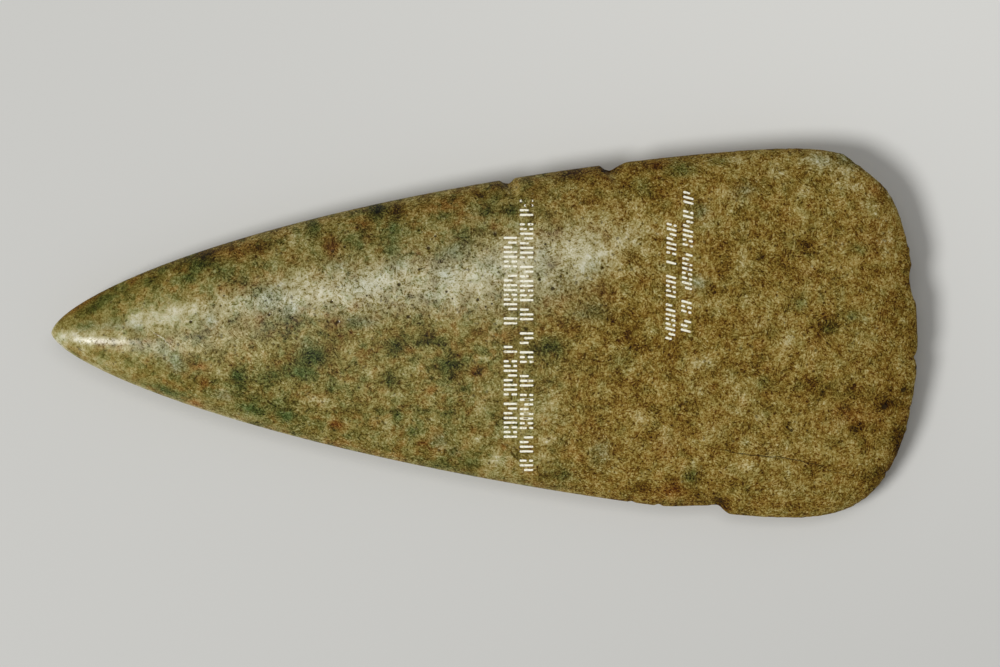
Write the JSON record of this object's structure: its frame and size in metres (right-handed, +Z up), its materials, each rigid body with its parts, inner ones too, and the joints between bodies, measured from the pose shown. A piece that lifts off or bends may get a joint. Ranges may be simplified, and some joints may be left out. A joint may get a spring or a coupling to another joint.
{
  "type": "polished stone axe head",
  "caption": "Thin triangular polished jadeite axe head with a pointed butt, gently curved sides and a wide curved cutting edge, lying on its broad face.",
  "frame": {"origin": "bottom centre of the bounding box, on the surface that the axe head lies on", "axes": "+X from the pointed butt to the cutting edge, +Y toward the more curved side, +Z up out of the upper broad face"},
  "size_m": [0.21, 0.0896, 0.0221],
  "materials": {
    "stone": "weathered jadeite, worn polish on the butt half, dull sandy grain on the blade"
  },
  "bodies": {
    "root": {"axe_head": "stone"}
  },
  "joints": []
}
